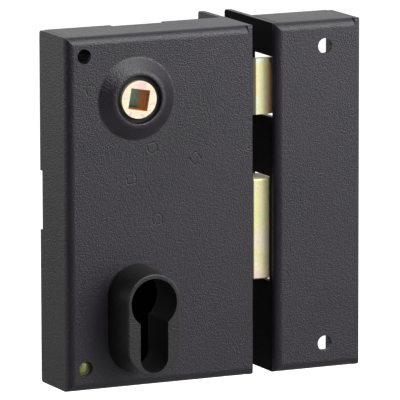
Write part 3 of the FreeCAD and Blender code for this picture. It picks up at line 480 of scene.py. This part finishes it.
def makeLatchSpring(coil):
    low, high = (Vector(corner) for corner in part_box("latch_spring"))
    middle = (low + high) / 2
    radius = (high.z - low.z) / 2 - coil["wire"]
    start = Vector((low.x + coil["wire"], middle.y, middle.z))
    steps = round(coil["turns"] * coil["stepsPerTurn"])
    rise = (high.x - low.x - 2 * coil["wire"]) / steps
    shape = bmesh.new()
    bmesh.ops.create_circle(shape, cap_ends=False, segments=coil["ringPoints"], radius=coil["wire"],
                            matrix=Matrix.Translation(start + Vector((0.0, radius, 0.0))))
    bmesh.ops.spin(shape, geom=shape.verts[:] + shape.edges[:], cent=start, axis=(1.0, 0.0, 0.0),
                   dvec=(rise, 0.0, 0.0), angle=math.tau * coil["turns"], steps=steps)
    for face in shape.faces:
        face.smooth = True
    bmesh.ops.holes_fill(shape, edges=[edge for edge in shape.edges if edge.is_boundary], sides=0)
    bmesh.ops.recalc_face_normals(shape, faces=shape.faces[:])
    mesh = bpy.data.meshes.new("latchSpring")
    shape.to_mesh(mesh)
    shape.free()
    spring = bpy.data.objects.new("latchSpring", mesh)
    scene.collection.objects.link(spring)
    mesh.materials.append(springSteel)
    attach(spring, "lock_case")
    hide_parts("latch_spring")
    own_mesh(spring)


makeLatchSpring(springCoil)
print("latch spring made")


# Camera, at the photograph's angle

cameraFit = {"yaw": 25.347, "pitch": 9.981, "roll": -0.134, "distance": 2.1798, "lens": 553.3,
             "sensor": 36.0, "clipEnd": 20.0, "target": (0.03535, 0.0, -0.04213)}


def makeCamera(fit):
    yaw, pitch, roll = (math.radians(fit[key]) for key in ("yaw", "pitch", "roll"))
    back = Vector((-math.sin(yaw) * math.cos(pitch), -math.cos(yaw) * math.cos(pitch), math.sin(pitch)))
    right = Vector((math.cos(yaw), -math.sin(yaw), 0.0))
    up = back.cross(right)
    turnedRight = right * math.cos(roll) + up * math.sin(roll)
    turnedUp = up * math.cos(roll) - right * math.sin(roll)
    data = bpy.data.cameras.new("camera")
    data.lens = fit["lens"]
    data.sensor_width = fit["sensor"]
    data.clip_end = fit["clipEnd"]
    camera = bpy.data.objects.new("camera", data)
    scene.collection.objects.link(camera)
    facing = Matrix((turnedRight, turnedUp, back)).transposed()
    camera.matrix_world = Matrix.Translation(Vector(fit["target"]) + back * fit["distance"]) @ facing.to_4x4()
    scene.camera = camera


makeCamera(cameraFit)


# Floor, lamps and world

floorLook = {"middle": (0.03, 0.0, -0.16), "size": 3.0, "colour": (0.38, 0.38, 0.38), "roughness": 0.9,
             "white": 0.98, "shadow": (0.75, 0.75, 0.75)}


def makeFloor(look):
    mesh = bpy.data.meshes.new("floor")
    shape = bmesh.new()
    bmesh.ops.create_grid(shape, x_segments=1, y_segments=1, size=look["size"],
                          matrix=Matrix.Translation(look["middle"]))
    shape.to_mesh(mesh)
    shape.free()
    floor = bpy.data.objects.new("floor", mesh)
    scene.collection.objects.link(floor)
    material, tree, shader = newMaterial("floorWhite")
    shader.inputs["Base Color"].default_value = (*look["colour"], 1.0)
    shader.inputs["Roughness"].default_value = look["roughness"]
    # the camera sees white paper that still takes the lock's soft shadow
    seen = addNode(tree, "ShaderNodeLightPath").outputs["Is Camera Ray"]
    glow = addNode(tree, "ShaderNodeEmission", {"Color": (1.0, 1.0, 1.0, 1.0), "Strength": look["white"]})
    paper = addNode(tree, "ShaderNodeBsdfDiffuse", {"Color": (*look["shadow"], 1.0)})
    both = addNode(tree, "ShaderNodeAddShader", {0: glow.outputs["Emission"], 1: paper.outputs["BSDF"]})
    mixed = addNode(tree, "ShaderNodeMixShader", {0: seen, 1: shader.outputs["BSDF"], 2: both.outputs[0]})
    tree.links.new(mixed.outputs[0], tree.nodes["Material Output"].inputs["Surface"])
    mesh.materials.append(material)


lampAim = (0.03, -0.02, -0.04)
lamps = {
    "above": {"place": (0.070, -0.620, 0.700), "size": 0.9, "watts": 10.0},
    "frontHigh": {"place": (0.550, -0.680, 0.290), "size": 0.6, "watts": 5.7},
    "topFront": {"place": (0.403, -0.553, 0.582), "size": 1.0, "watts": 2.2},
    "right": {"place": (0.780, -0.505, 0.051), "size": 0.7, "watts": 1.8},
    "left": {"place": (-0.900, 0.340, 0.010), "size": 0.6, "watts": 0.9},
    "backLeft": {"place": (-0.435, 0.859, -0.143), "size": 0.8, "watts": 1.1},
}


def makeLamps(settings):
    for name, lamp in settings.items():
        data = bpy.data.lights.new(name, "AREA")
        data.size = lamp["size"]
        data.energy = lamp["watts"]
        light = bpy.data.objects.new(name, data)
        light.location = lamp["place"]
        facing = Vector(lampAim) - Vector(lamp["place"])
        light.rotation_euler = facing.to_track_quat("-Z", "Y").to_euler()
        scene.collection.objects.link(light)


worldLook = {"lean": -0.12, "darkBelow": -0.05, "brightAbove": 0.25, "gloss": 0.85}


def makeWorld(look):
    # white to the camera, and in gloss white behind the lock and dark in front of it
    world = bpy.data.worlds.new("studio")
    world.use_nodes = True
    tree = world.node_tree
    tree.nodes.clear()
    output = tree.nodes.new("ShaderNodeOutputWorld")
    path = addNode(tree, "ShaderNodeLightPath").outputs
    axes = addAxes(tree, addNode(tree, "ShaderNodeTexCoord").outputs["Generated"])
    # the bright part reaches a little further round on the left
    leaned = addMath(tree, "MULTIPLY_ADD", axes["X"], look["lean"], axes["Y"])
    behind = addRange(tree, leaned, look["darkBelow"], look["brightAbove"], 0.0, look["gloss"])
    reflected = addMath(tree, "MAXIMUM", path["Is Glossy Ray"], path["Is Transmission Ray"])
    strength = addMath(tree, "MAXIMUM", path["Is Camera Ray"], addMath(tree, "MULTIPLY", reflected, behind))
    sky = addNode(tree, "ShaderNodeBackground", {"Color": (1.0, 1.0, 1.0, 1.0), "Strength": strength})
    tree.links.new(sky.outputs[0], output.inputs["Surface"])
    scene.world = world


makeFloor(floorLook)
makeLamps(lamps)
makeWorld(worldLook)
scene.view_settings.view_transform = "Standard"
print("camera, floor and lamps set")
